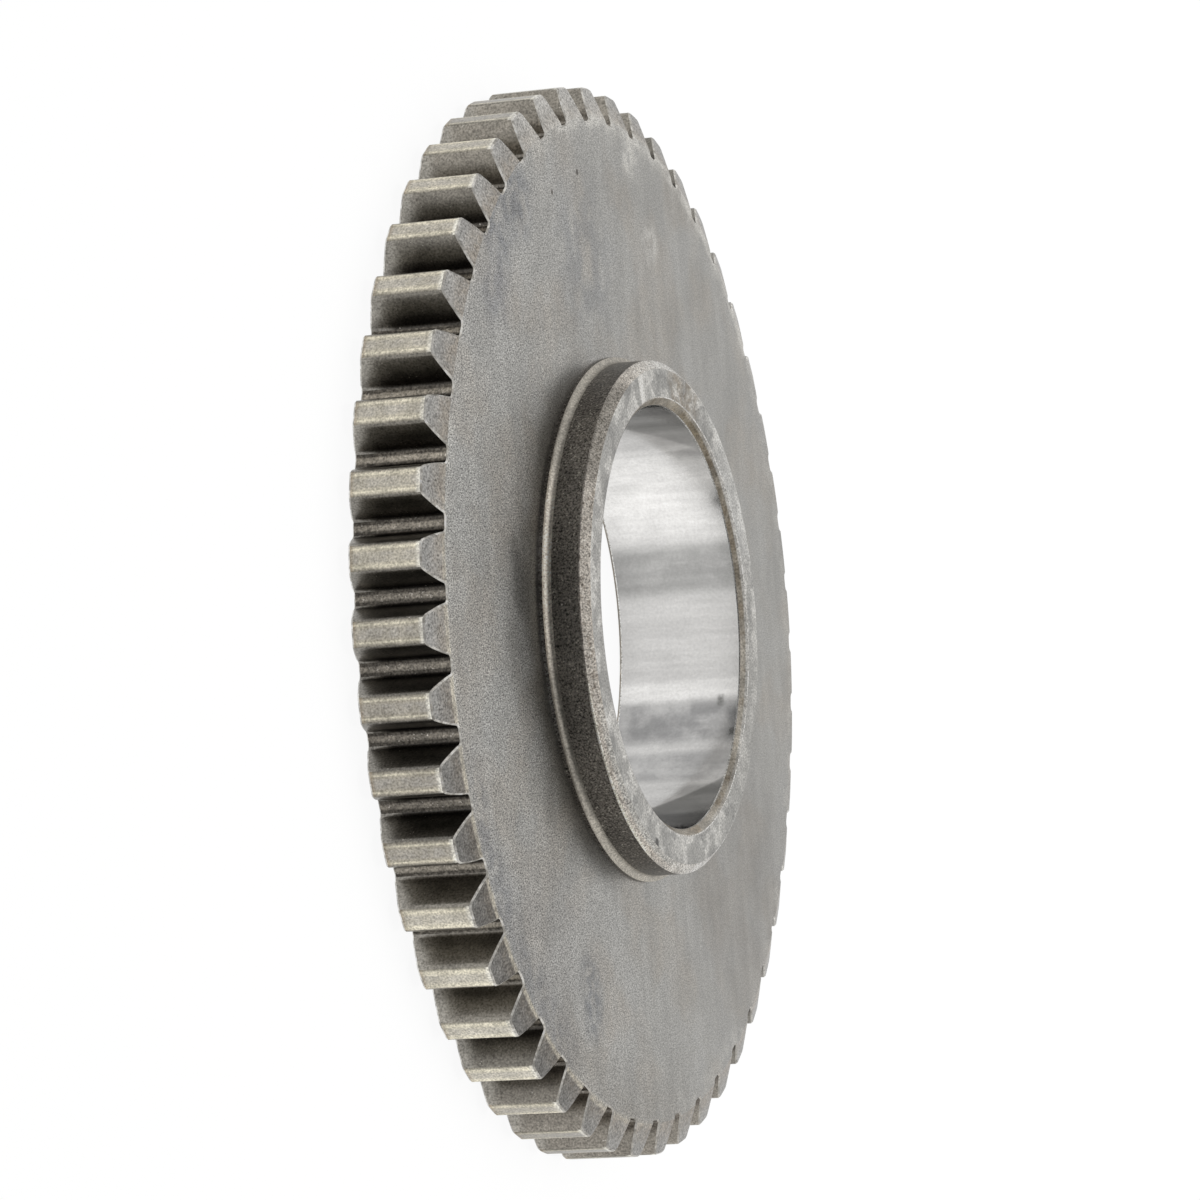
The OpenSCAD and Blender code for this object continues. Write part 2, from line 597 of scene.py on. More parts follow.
@dataclass
class Bench:
    """A node tree with short ways to add nodes. Lengths are in millimetres.

    Breaks is the stretch of a noise over which a patchy layer goes from thin to full.
    """

    tree: bpy.types.NodeTree
    place: Socket | None = None
    breaks: tuple[float, float] = (0.35, 0.62)
    break_detail: float = 3.0

    def add(self, kind: str, **settings: object) -> bpy.types.Node:
        """Adds a node and sets its properties.

        Args:
            kind: Blender's name for the node.
            **settings: its properties by name.

        Returns:
            The node.
        """
        node = self.tree.nodes.new(kind)
        for key, value in settings.items():
            setattr(node, key, value)
        return node

    def feed(self, socket: Socket, value: Socket | float | tuple[float, ...]) -> None:
        """Links a socket or sets its constant.

        Args:
            socket: the input.
            value: an output to link, or a constant.
        """
        if isinstance(value, bpy.types.NodeSocket):
            self.tree.links.new(value, socket)
        else:
            socket.default_value = value

    def math(self, operation: str, a: Socket | float, b: Socket | float = 0.0) -> Socket:
        """Joins two values with one sum.

        Args:
            operation: Blender's name for the sum.
            a: first value.
            b: second value.

        Returns:
            The result.
        """
        node = self.add("ShaderNodeMath", operation=operation)
        self.feed(node.inputs[0], a)
        self.feed(node.inputs[1], b)
        return node.outputs["Value"]

    def vector(self, operation: str, a: Socket, b: Colour = NOWHERE) -> bpy.types.Node:
        """Joins a vector and a constant one.

        Args:
            operation: Blender's name for the sum.
            a: the vector.
            b: the constant vector.

        Returns:
            The node.
        """
        node = self.add("ShaderNodeVectorMath", operation=operation)
        self.feed(node.inputs[0], a)
        self.feed(node.inputs[1], b)
        return node

    def fade(
        self,
        value: Socket,
        start: float,
        end: float,
        low: float = 0.0,
        high: float = 1.0,
        kind: str = "SMOOTHSTEP",
    ) -> Socket:
        """Maps a stretch of a value to a range.

        Args:
            value: the value.
            start: where the stretch starts.
            end: where it ends.
            low: result at the start.
            high: result at the end.
            kind: SMOOTHSTEP for a soft change or LINEAR.

        Returns:
            The mapped value.
        """
        node = self.add("ShaderNodeMapRange", interpolation_type=kind)
        for name, number in (("From Min", start), ("From Max", end), ("To Min", low), ("To Max", high)):
            node.inputs[name].default_value = number
        self.feed(node.inputs["Value"], value)
        return node.outputs["Result"]

    def noise(self, size: float, detail: float = 2.0, stretch: Colour = WHOLE, turn: float = 0.0) -> Socket:
        """Adds a noise.

        Args:
            size: grain size.
            detail: octaves of finer noise.
            stretch: how many times longer the grains are along each axis.
            turn: angle of the stretched axes round Z, in radians.

        Returns:
            The noise value.
        """
        mapping = self.add("ShaderNodeMapping", vector_type="TEXTURE")
        self.feed(mapping.inputs["Vector"], self.place)
        mapping.inputs["Rotation"].default_value = (0.0, 0.0, turn)
        mapping.inputs["Scale"].default_value = stretch
        node = self.add("ShaderNodeTexNoise")
        self.feed(node.inputs["Vector"], mapping.outputs["Vector"])
        node.inputs["Scale"].default_value = 1.0 / size
        node.inputs["Detail"].default_value = detail
        return node.outputs["Fac"]

    def tint(
        self, factor: Socket | float, base: Socket | Colour, colour: Socket | Colour, blend: str = "MIX"
    ) -> Socket:
        """Mixes a colour into another one.

        Args:
            factor: how much of it goes in.
            base: the colour below.
            colour: the colour above.
            blend: Blender's name for the way they mix.

        Returns:
            The mixed colour.
        """
        node = self.add("ShaderNodeMix", data_type="RGBA", blend_type=blend)
        self.feed(node.inputs["Factor"], factor)
        for name, value in (("A", base), ("B", colour)):
            socket = next(i for i in node.inputs if i.name == name and i.type == "RGBA")
            self.feed(socket, (*value, 1.0) if isinstance(value, tuple) else value)
        return next(o for o in node.outputs if o.type == "RGBA")

    def along(self, span: Span) -> Socket:
        """Adds a span's pattern.

        Args:
            span: the span.

        Returns:
            The pattern's value at each point.
        """
        flat = self.vector("MULTIPLY", self.place, LEVEL_ONLY).outputs["Vector"]
        if span.pattern is Pattern.RADIUS:
            value = self.vector("LENGTH", flat).outputs["Value"]
        elif span.pattern is Pattern.PLANE:
            value = self.vector("DOT_PRODUCT", self.place, span.at).outputs["Value"]
        elif span.pattern is Pattern.SIDE:
            unit = self.vector("NORMALIZE", flat).outputs["Vector"]
            value = self.vector("DOT_PRODUCT", unit, span.at).outputs["Value"]
        elif span.pattern is Pattern.SPOT:
            value = self.vector("DISTANCE", self.place, span.at).outputs["Value"]
        elif span.pattern is Pattern.ACROSS:
            split = self.add("ShaderNodeSeparateXYZ")
            self.feed(split.inputs[0], self.place)
            angle = self.math("ARCTAN2", split.outputs["Y"], split.outputs["X"])
            value = self.math("COSINE", self.math("MULTIPLY", angle, float(ToothForm.teeth)))
        else:
            value = self.noise(span.at[0])
        if span.centre is not None:
            value = self.math("ABSOLUTE", self.math("SUBTRACT", value, span.centre))
        return value

    def mask(self, layer: Layer) -> Socket:
        """Adds a layer's mask.

        Args:
            layer: the layer.

        Returns:
            How strongly it covers each point.
        """
        patches = self.noise(layer.size, self.break_detail)
        value = self.math("MULTIPLY", self.fade(patches, *self.breaks, 1.0 - layer.patchy, 1.0), layer.amount)
        for span in layer.spans:
            value = self.math("MULTIPLY", value, self.fade(self.along(span), span.start, span.end))
        return value


UP = (0.0, 0.0, 1.0)
CAMERA_TURN = math.radians(30.68)
GRIND_TURN = CAMERA_TURN - math.pi / 2
# stretches of a noise over which the speckle and the clouds go from low to high
SPECKLE_STRETCH = (0.25, 0.75)
CLOUD_STRETCH = (0.3, 0.7)
CLOUD_DETAIL = 4.0
STREAK_DETAIL = 3.0
# stretch, in millimetres towards the camera's side, over which a calm finish gets its full speckle
CALM_STRETCH = (-45.0, 60.0)
GLOSS_CHANGE = 0.04
RELIEF_DEPTH = 0.05 * METRES


def towards(turn: float) -> Colour:
    """Level direction at a turn, in degrees, from the camera's side of the wheel."""
    a = CAMERA_TURN + math.radians(turn)
    return (math.cos(a), math.sin(a), 0.0)


CAMERA_SIDE = towards(0.0)
# direction across the slanted border of the painted shade at the ends of the bore's wall
BORE_SHADE_SLANT = (CAMERA_SIDE[0], CAMERA_SIDE[1], 0.668)
HUB_TOP = WheelBlank.rim_width + WheelBlank.hub_height


@dataclass(frozen=True)
class SteelFinish:
    """One machined finish of the steel, as a procedural material, whose layers also hold painted light and
    shade. Lengths are in millimetres.
    """

    name: str
    colour: Colour
    roughness: float
    speckle: float
    grain: float = 0.4
    grain_stretch: Colour = WHOLE
    calm: float = 0.0
    bump: float = 0.2
    cloud: float = 0.06
    cloud_size: float = 4.0
    streak: float = 0.0
    streak_size: float = 2.0
    streak_stretch: Colour = WHOLE
    streak_turn: float = 0.0
    layers: tuple[Layer, ...] = ()

    def material(self) -> bpy.types.Material:
        """Builds the material.

        Returns:
            The material, with its nodes on the object's own coordinates.
        """
        mat = bpy.data.materials.new(self.name)
        mat.use_nodes = True
        bench = Bench(mat.node_tree)
        own = bench.add("ShaderNodeTexCoord").outputs["Object"]
        bench.place = bench.vector("MULTIPLY", own, (PER_METRE,) * 3).outputs["Vector"]
        shader = mat.node_tree.nodes["Principled BSDF"]
        shader.inputs["Metallic"].default_value = 1.0
        fine = bench.noise(self.grain, 2.0, self.grain_stretch, CAMERA_TURN)
        broad = bench.noise(self.cloud_size, CLOUD_DETAIL)
        colour: Socket | Colour = self.colour
        tone = self.tone(bench, fine, broad)
        for layer in self.layers:
            colour = bench.tint(bench.mask(layer), colour, layer.colour)
            colour.node.label = layer.name
        low, high = self.roughness - GLOSS_CHANGE, self.roughness + GLOSS_CHANGE
        gloss = bench.fade(broad, *CLOUD_STRETCH, low, high)
        bench.feed(shader.inputs["Base Color"], bench.tint(1.0, colour, tone, "MULTIPLY"))
        bench.feed(shader.inputs["Roughness"], gloss)
        relief = bench.add("ShaderNodeBump")
        relief.inputs["Strength"].default_value = self.bump
        relief.inputs["Distance"].default_value = RELIEF_DEPTH
        bench.feed(relief.inputs["Height"], fine)
        bench.feed(shader.inputs["Normal"], relief.outputs["Normal"])
        return mat

    def tone(self, bench: Bench, fine: Socket, broad: Socket) -> Socket:
        """Adds the speckle, clouds and streaks.

        Args:
            bench: the material's nodes.
            fine: noise of the grain.
            broad: noise of the clouds.

        Returns:
            The factor that makes the steel darker or lighter at each point.
        """
        tone = bench.fade(fine, *SPECKLE_STRETCH, -self.speckle, self.speckle, "LINEAR")
        if self.calm:
            distance = bench.vector("DOT_PRODUCT", bench.place, CAMERA_SIDE).outputs["Value"]
            tone = bench.math("MULTIPLY", tone, bench.fade(distance, *CALM_STRETCH, 1.0 - self.calm, 1.0))
        tone = bench.math("ADD", tone, 1.0)
        clouds = bench.fade(broad, *CLOUD_STRETCH, 1.0 - self.cloud, 1.0 + self.cloud)
        tone = bench.math("MULTIPLY", tone, clouds)
        if self.streak:
            lines = bench.noise(self.streak_size, STREAK_DETAIL, self.streak_stretch, self.streak_turn)
            streaks = bench.fade(lines, *CLOUD_STRETCH, 1.0 - self.streak, 1.0 + self.streak)
            tone = bench.math("MULTIPLY", tone, streaks)
        return tone


def beam(turn: float, outer: float, inner: float) -> Span:
    """Span round one side of the wheel that fades in between two half widths, in degrees."""
    return Span(Pattern.SIDE, math.cos(math.radians(outer)), math.cos(math.radians(inner)), towards(turn))


def sideways(start: float, end: float) -> Span:
    """Span that fades in towards the camera's side, at 1, or the far side, at -1."""
    return Span(Pattern.SIDE, start, end, CAMERA_SIDE)


def near(x: float, y: float, z: float, outer: float, inner: float) -> Span:
    """Span round a point that fades in between two distances."""
    return Span(Pattern.SPOT, outer, inner, (x, y, z))


def on_disc(x: float, y: float, outer: float, inner: float) -> Span:
    """Span round a point of the disc face that fades in between two distances."""
    return near(x, y, WheelBlank.rim_width, outer, inner)


def blotch(size: float, start: float, end: float) -> Span:
    """Span of random blotches of a size."""
    return Span(Pattern.BLOTCH, start, end, (size, 0.0, 0.0))


def radial(start: float, end: float) -> Span:
    """Span that fades in from one radius to another."""
    return Span(Pattern.RADIUS, start, end)


def ring(middle: float, outer: float, inner: float) -> Span:
    """Span round a radius that fades in between two half widths."""
    return Span(Pattern.RADIUS, outer, inner, centre=middle)


def axial(start: float, end: float) -> Span:
    """Span that fades in from one height to another."""
    return Span(Pattern.PLANE, start, end, UP)


def belt(middle: float, outer: float, inner: float) -> Span:
    """Span round a height that fades in between two half widths."""
    return Span(Pattern.PLANE, outer, inner, UP, middle)


def across(start: float, end: float) -> Span:
    """Span that fades in towards the middle of a tooth, at 1, or of a tooth space, at -1."""
    return Span(Pattern.ACROSS, start, end)


# painted shade over the ends of the bore's wall that the camera sees
BORE_SHADED_ENDS = Span(Pattern.PLANE, -6.1, -5.3, BORE_SHADE_SLANT)
# wear and a painted highlight: a light band on the far upper side where the tooth ends meet the disc face
UPPER_BORDER_WEAR_AND_HIGHLIGHT = Layer(
    "worn upper border with painted highlight", (ring(68.3, 1.5, 0.3), beam(-112.0, 46.0, 28.0)), (0.85, 0.84, 0.8), 0.65, 0.7, 2.0
)

DISC_STEEL = SteelFinish(
    "disc_face_steel",
    (0.47, 0.468, 0.456),
    0.35,
    speckle=0.95,
    grain=0.19,
    grain_stretch=(2.0, 1.0, 1.0),
    calm=0.7,
    bump=0.3,
    cloud=0.12,
    cloud_size=9.0,
    streak=0.055,
    streak_size=3.2,
    streak_stretch=(7.0, 1.0, 1.0),
    streak_turn=GRIND_TURN,
    layers=(
        Layer("warm cloud", (blotch(14.0, 0.45, 0.6),), (0.47, 0.435, 0.39), 0.5, 0.4, 3.0),
        Layer("grey cloud", (blotch(9.0, 0.5, 0.62),), (0.38, 0.385, 0.39), 0.3, 0.5, 3.0),
        Layer("pale marks along the rim", (radial(64.5, 68.0), blotch(3.5, 0.42, 0.6)),
              (0.64, 0.63, 0.6), 0.55, 0.5, 1.0),
        # painted shade: the disc face darkens next to the hub's foot on the camera's side, deepest at the
        # foot itself
        Layer("painted shade round the hub's foot", (radial(40.8, 37.2), sideways(0.2, 0.7)),
              (0.1, 0.095, 0.09), 0.7, 0.1),
        Layer("painted deeper shade at the hub's foot", (radial(38.0, 36.2), sideways(0.2, 0.7)),
              (0.06, 0.057, 0.05), 0.35, 0.1),
        # wear and a painted highlight: a light line on the lower side where the tooth ends meet the disc face
        Layer("worn lower border with painted highlight", (ring(68.5, 0.5, 0.15), beam(35.0, 55.0, 30.0)),
              (0.85, 0.8, 0.68), 0.7, 0.5, 1.0),
        # worn upper border with its painted highlight
        UPPER_BORDER_WEAR_AND_HIGHLIGHT,
        # darker towards the rim on the lower side
        Layer("darker lower border", (radial(58.0, 67.5), beam(72.0, 32.0, 14.0)),
              (0.34, 0.325, 0.3), 0.55, 0.4, 3.0),
        Layer("pale scuff", (on_disc(21.6, -61.0, 4.5, 1.0),), (0.85, 0.84, 0.8), 0.6, 0.8, 2.0),
        Layer("second pale scuff", (on_disc(10.5, -54.2, 4.5, 1.0),), (0.8, 0.8, 0.78), 0.55, 0.8, 2.0),
        Layer("blue stain", (on_disc(62.0, -24.5, 8.0, 2.0),), (0.17, 0.185, 0.215), 0.7, 0.7, 2.8),
        Layer("blue stain's upper end", (on_disc(57.0, -31.5, 8.0, 2.0),),
              (0.17, 0.185, 0.215), 0.65, 0.75, 2.4),
        Layer("blue stain's lower end", (on_disc(60.0, -16.5, 8.0, 2.0),), (0.2, 0.21, 0.24), 0.55, 0.7, 3.0),
        Layer("faint upper stain", (on_disc(32.0, -38.0, 16.0, 4.0),), (0.28, 0.29, 0.31), 0.5, 0.95, 4.0),
        # darker patch over the far side of the disc
        Layer("darker far side", (on_disc(-50.0, 14.0, 30.0, 8.0),), (0.31, 0.3, 0.29), 0.5, 0.4, 6.0),
        Layer("blue lower border", (radial(60.5, 65.0), beam(36.0, 28.0, 12.0)),
              (0.19, 0.2, 0.225), 0.55, 0.8, 2.4),
        Layer("blue streak", (on_disc(-1.0, 54.5, 6.0, 1.5),), (0.18, 0.195, 0.225), 0.65, 0.8, 2.0),
        Layer("blue streak's end", (on_disc(-4.0, 58.0, 5.0, 1.5),), (0.18, 0.195, 0.225), 0.55, 0.8, 2.0),
        # darker patch low on the disc
        Layer("darker lower patch", (on_disc(16.0, 60.0, 22.0, 6.0),), (0.3, 0.29, 0.28), 0.5, 0.8, 5.0),
        Layer("pit", (on_disc(46.1, -39.7, 0.5, 0.25),), (0.08, 0.07, 0.06), 0.9, 0.0),
        Layer("second pit", (on_disc(38.8, -47.7, 0.6, 0.3),), (0.08, 0.07, 0.06), 0.9, 0.0),
    ),
)

TOOTH_END_STEEL = SteelFinish(
    "tooth_end_steel",
    (0.46, 0.455, 0.445),
    0.38,
    speckle=0.6,
    grain=0.3,
    bump=0.3,
    cloud=0.12,
    layers=(
        Layer("brown root", (radial(72.2, 69.2),), (0.42, 0.365, 0.3), 0.6, 0.5, 1.2),
        # painted shade on the tooth ends of the lower side
        Layer("painted shade on the lower tooth ends", (beam(38.0, 40.0, 6.0),), (0.05, 0.046, 0.04), 0.6, 0.2),
        # wear and a painted highlight on the lower side where the tooth ends meet the disc face
        Layer("worn lower border with painted highlight", (ring(68.8, 0.5, 0.15), beam(35.0, 55.0, 30.0)),
              (0.85, 0.8, 0.68), 0.6, 0.5, 1.0),
        # worn upper border with its painted highlight
        UPPER_BORDER_WEAR_AND_HIGHLIGHT,
        Layer("dark specks", (blotch(0.5, 0.62, 0.7),), (0.1, 0.09, 0.08), 0.6),
        # painted highlight on the tooth ends of the upper side
        Layer("painted highlight on the upper tooth ends", (beam(-80.0, 20.0, 8.0),), (0.8, 0.79, 0.76), 0.5),
    ),
)

FLANK_STEEL = SteelFinish(
    "tooth_flank_steel",
    (0.21, 0.197, 0.172),
    0.34,
    speckle=0.5,
    grain=0.28,
    cloud=0.15,
    layers=(
        # painted shade deep in the tooth gaps, darkest at the root
        Layer("painted shade at the flanks' root", (radial(70.6, 69.0),), (0.07, 0.062, 0.055), 0.65),
        Layer("deepest painted shade at the flanks' root", (radial(70.0, 68.8),), (0.03, 0.027, 0.025), 0.65, 0.1),
        # painted shade on the flanks nearest the camera, painted light on the lower, bottom and top flanks
        Layer("painted shade on the near flanks", (beam(8.0, 22.0, 10.0),), (0.1, 0.095, 0.09), 0.4),
        Layer("painted light on the lower flanks", (beam(35.0, 15.0, 5.0),), (0.38, 0.355, 0.31), 0.5),
        Layer("painted warm light on the bottom flanks", (beam(85.0, 36.0, 18.0),), (0.42, 0.38, 0.33), 0.4, 0.4, 1.2),
        Layer("painted warm light on the top flanks", (beam(-80.0, 32.0, 16.0),), (0.46, 0.42, 0.36), 0.42, 0.4, 1.2),
        # painted light at the flanks' back end, where light from behind the wheel reaches into the gaps
        Layer("painted light at the flanks' back end", (axial(3.6, 1.8),), (0.44, 0.42, 0.38), 0.65),
        Layer("bright specks", (blotch(0.35, 0.69, 0.75),), (0.6, 0.57, 0.52), 0.8, 0.0),
    ),
)

LAND_STEEL = SteelFinish(
    "tooth_land_steel",
    (0.53, 0.49, 0.4),
    0.36,
    speckle=0.45,
    grain=0.28,
    cloud=0.16,
    cloud_size=3.0,
    layers=(
        # painted light and shade on the lands, by where each tooth stands round the wheel
        Layer("painted shade on the near lands", (beam(12.0, 20.0, 8.0),), (0.25, 0.23, 0.2), 0.55, 0.2),
        Layer("painted highlight on the lower lands", (beam(42.0, 18.0, 8.0),), (0.85, 0.8, 0.66), 0.6, 0.2),
        Layer("painted shade on the bottom lands", (beam(82.0, 22.0, 12.0),), (0.2, 0.185, 0.16), 0.8, 0.2),
        Layer("painted shade on the top lands", (beam(-80.0, 20.0, 8.0),), (0.25, 0.235, 0.21), 0.75, 0.2),
        # painted shade on the flat middle of each land, painted shade and highlight lines on its rounded
        # corners
        Layer("painted shade on the land's middle", (across(0.84, 0.97),), (0.38, 0.365, 0.35), 0.5, 0.5),
        Layer("painted shade on the tip corners", (across(0.64, 0.5),), (0.16, 0.15, 0.13), 0.75, 0.2),
        Layer("painted highlight lines on the tip corners", (Span(Pattern.ACROSS, 0.09, 0.03, centre=0.73),),
              (0.78, 0.73, 0.58), 0.6, 0.4, 0.7),
        # painted highlight along the front end of the lands
        Layer("painted highlight at the lands' front end", (axial(10.3, 10.95),), (0.82, 0.8, 0.72), 0.8, 0.4, 1.0),
        Layer("brown back end", (axial(2.4, 1.6),), (0.3, 0.24, 0.17), 0.6, 0.4),
    ),
)

FLOOR_STEEL = SteelFinish(
    "tooth_floor_steel",
    (0.4, 0.36, 0.3),
    0.36,
    speckle=0.6,
    grain=0.28,
    cloud=0.18,
    layers=(
        # painted shade on the floors nearest the camera, painted highlight on the lower floors
        Layer("painted shade on the near floors", (beam(8.0, 28.0, 12.0),), (0.08, 0.075, 0.07), 0.55, 0.2),
        Layer("painted highlight on the lower floors", (beam(37.0, 14.0, 6.0),), (0.7, 0.65, 0.56), 0.5, 0.2),
        # painted shade towards the floor's corners; the floor's middle keeps its highlight
        Layer("dark middle", (across(-1.003, -0.93),), (0.045, 0.04, 0.035), 0.92, 0.25, 0.5),
        Layer("dark spots", (blotch(0.6, 0.5, 0.64),), (0.08, 0.074, 0.065), 0.5),
        Layer("bright grains", (blotch(0.35, 0.62, 0.7), across(-0.93, -0.98)), (0.8, 0.75, 0.68), 0.5, 0.2),
    ),
)

HUB_WALL_STEEL = SteelFinish(
    "hub_wall_steel",
    (0.31, 0.287, 0.258),
    0.36,
    speckle=1.0,
    grain=0.26,
    cloud=0.15,
    cloud_size=5.0,
    bump=0.3,
    layers=(
        # painted shade on the sides of the hub wall, away from the camera's side
        Layer("painted shade on the hub wall's sides", (sideways(0.99, 0.5),), (0.11, 0.1, 0.088), 0.72, 0.1),
        Layer("bright grains", (blotch(0.3, 0.6, 0.68),), (0.9, 0.86, 0.76), 0.5, 0.2),
        # painted highlight line at the foot of the hub wall, on the camera's side
        Layer("painted highlight line at the hub wall's foot", (axial(13.3, 13.15), sideways(0.85, 0.98)), (0.95, 0.93, 0.9), 0.6, 0.1),
    ),
)

CHAMFER_STEEL = SteelFinish(
    "hub_chamfer_steel",
    (0.62, 0.58, 0.53),
    0.4,
    speckle=0.8,
    grain=0.25,
    cloud=0.15,
    cloud_size=3.0,
    bump=0.4,
    layers=(
        Layer("brown spots", (blotch(0.8, 0.56, 0.64),), (0.26, 0.22, 0.18), 0.6),
        # painted shade on the upper part of the chamfer
        Layer("painted shade on the upper part", (beam(-50.0, 22.0, 8.0),), (0.18, 0.17, 0.15), 0.72, 0.3, 1.0),
        Layer("dull inner edge", (radial(34.6, 34.2), beam(50.0, 36.0, 18.0)), (0.6, 0.6, 0.58), 0.85, 0.2),
        # painted highlight on the chamfer's outer edge, on the lower side
        Layer("painted highlight on the chamfer's outer edge", (radial(34.82, 34.94), beam(38.0, 30.0, 20.0)), (0.98, 0.95, 0.82), 0.85),
        # painted light on the chamfer's far side
        Layer("painted light on the chamfer's far side", (sideways(0.45, -0.2),), (0.8, 0.8, 0.78), 0.9, 0.3, 3.0),
    ),
)

HUB_FACE_STEEL = SteelFinish(
    "hub_face_steel",
    (0.47, 0.468, 0.455),
    0.36,
    speckle=0.5,
    grain=0.3,
    cloud=0.15,
    layers=(
        # painted highlight on the far border of the hub's face
        Layer("painted highlight on the hub face's far border", (radial(31.8, 33.6), beam(-145.0, 70.0, 40.0)),
              (0.78, 0.78, 0.76), 0.65, 0.5, 2.0),
        Layer("pale smears", (blotch(3.4, 0.44, 0.58),), (0.88, 0.87, 0.84), 0.66, 0.5, 1.0),
        Layer("grey smears", (blotch(2.6, 0.53, 0.62),), (0.24, 0.24, 0.24), 0.6, 0.6, 1.0),
        # darker over the far lower part of the hub's face
        Layer("darker far lower part", (beam(150.0, 32.0, 15.0),), (0.46, 0.455, 0.44), 0.6),
        Layer("pale far upper part", (beam(-150.0, 22.0, 8.0),), (0.72, 0.72, 0.71), 0.6),
        Layer("bright scratch", (beam(-76.0, 2.0, 0.8),), (0.98, 0.97, 0.93), 0.85, 0.2),
        Layer("brown stain", (beam(-107.0, 14.0, 4.0),), (0.25, 0.2, 0.14), 0.75, 0.8, 1.6),
        Layer("nick", (near(-2.4, 33.4, HUB_TOP, 0.9, 0.5),), (0.05, 0.05, 0.05), 0.9, 0.0),
    ),
)

BORE_STEEL = SteelFinish(
    "bore_steel",
    (0.61, 0.602, 0.59),
    0.15,
    speckle=0.08,
    bump=0.03,
    cloud_size=6.0,
    streak=0.06,
    streak_size=1.2,
    streak_stretch=(1.0, 1.0, 9.0),
    layers=(
        # painted reflections: bright and dark bands round the bore's wall
        Layer("painted reflection on the bore's upper part", (beam(-143.0, 20.0, 8.0),), (0.95, 0.94, 0.92), 0.85, 0.2, 3.0),
        Layer("painted dark reflection band in the bore's middle", (beam(-167.0, 9.0, 4.0),), (0.3, 0.3, 0.29), 0.7, 0.25, 3.0),
        Layer("painted light reflection band in the bore's middle", (beam(158.0, 4.0, 1.5),), (0.9, 0.89, 0.87), 0.6, 0.2, 3.0),
        Layer("painted dark reflection band lower in the bore", (beam(148.5, 8.5, 3.0),), (0.24, 0.24, 0.24), 0.8, 0.5, 3.5),
        Layer("painted dark reflection band at the bore's bottom", (beam(133.0, 7.0, 3.0),), (0.28, 0.28, 0.28), 0.65, 0.5, 3.5),
        Layer("smudge", (beam(154.8, 2.2, 0.6), belt(15.6, 0.7, 0.2)), (0.16, 0.16, 0.15), 0.8, 0.5, 0.4),
        Layer("second smudge", (beam(144.7, 1.8, 0.5), belt(17.8, 0.6, 0.2)),
              (0.16, 0.16, 0.15), 0.75, 0.4, 0.4),
        # painted shade at the ends of the bore's wall, darker at the lower end and where the wall turns
        Layer("painted grey shade at the bore wall's ends", (BORE_SHADED_ENDS,), (0.3, 0.3, 0.29), 0.56, 0.2, 3.0),
        Layer("painted dark shade at the bore wall's lower end", (BORE_SHADED_ENDS, beam(105.0, 50.0, 20.0)),
              (0.12, 0.12, 0.115), 0.5, 0.1, 3.0),
        Layer("painted dark shade where the bore wall turns", (sideways(-0.5, -0.2), sideways(0.35, 0.05)),
              (0.04, 0.04, 0.04), 0.85, 0.1, 3.0),
    ),
)

# the edge breaks' bright colour is wear plus a painted highlight
EDGE_WEAR_AND_HIGHLIGHT_STEEL = SteelFinish(
    "worn_edge_steel_with_painted_highlight",
    (0.8, 0.785, 0.75),
    0.42,
    speckle=0.3,
    cloud=0.3,
    cloud_size=1.5,
    layers=(
        Layer("dull stretches", (blotch(1.2, 0.5, 0.6),), (0.4, 0.38, 0.34), 0.7, 0.2),
        # painted shade on the edge breaks of the bottom teeth
        Layer("painted shade on the bottom edges", (beam(95.0, 50.0, 20.0),), (0.42, 0.4, 0.37), 0.6),
    ),
)

FOOT_STEEL = SteelFinish(
    "hub_foot_steel",
    (0.88, 0.82, 0.73),
    0.4,
    speckle=0.5,
    grain=0.28,
    cloud=0.1,
    layers=(
        # painted shade on the upper, lower and near parts of the hub's foot
        Layer("painted shade on the upper part", (beam(-75.0, 48.0, 32.0),), (0.36, 0.345, 0.31), 0.8, 0.2),
        Layer("painted shade on the lower part", (beam(60.0, 60.0, 42.0),), (0.46, 0.44, 0.39), 0.8, 0.2),
        Layer("painted shade on the near part", (beam(25.0, 24.0, 8.0),), (0.28, 0.265, 0.235), 0.65, 0.2),
    ),
)

BORE_RIM_STEEL = SteelFinish(
    "bore_chamfer_steel",
    (0.46, 0.43, 0.38),
    0.38,
    speckle=0.5,
    grain=0.3,
    cloud=0.25,
    layers=(
        Layer("brown spots", (blotch(2.5, 0.5, 0.6),), (0.3, 0.25, 0.19), 0.7),
        Layer("brown far part", (beam(-143.0, 48.0, 30.0),), (0.16, 0.135, 0.1), 0.7, 0.4),
        # painted highlight on the far border of the bore's chamfer
        Layer("painted highlight on the bore rim's far border", (radial(29.45, 29.65), sideways(-0.1, -0.5)),
              (0.6, 0.595, 0.58), 0.85, 0.15),
        Layer("brown lower part", (beam(125.0, 16.0, 8.0),), (0.24, 0.21, 0.17), 0.5, 0.4),
        Layer("brown upper part", (beam(-105.0, 30.0, 5.0),), (0.28, 0.24, 0.17), 0.6, 0.5),
    ),
)

# one finish for each zone, in the zones' order
FINISHES = (
    DISC_STEEL, TOOTH_END_STEEL, FLANK_STEEL, LAND_STEEL, FLOOR_STEEL, HUB_WALL_STEEL,
    CHAMFER_STEEL, HUB_FACE_STEEL, BORE_STEEL, EDGE_WEAR_AND_HIGHLIGHT_STEEL, FOOT_STEEL, BORE_RIM_STEEL,
)


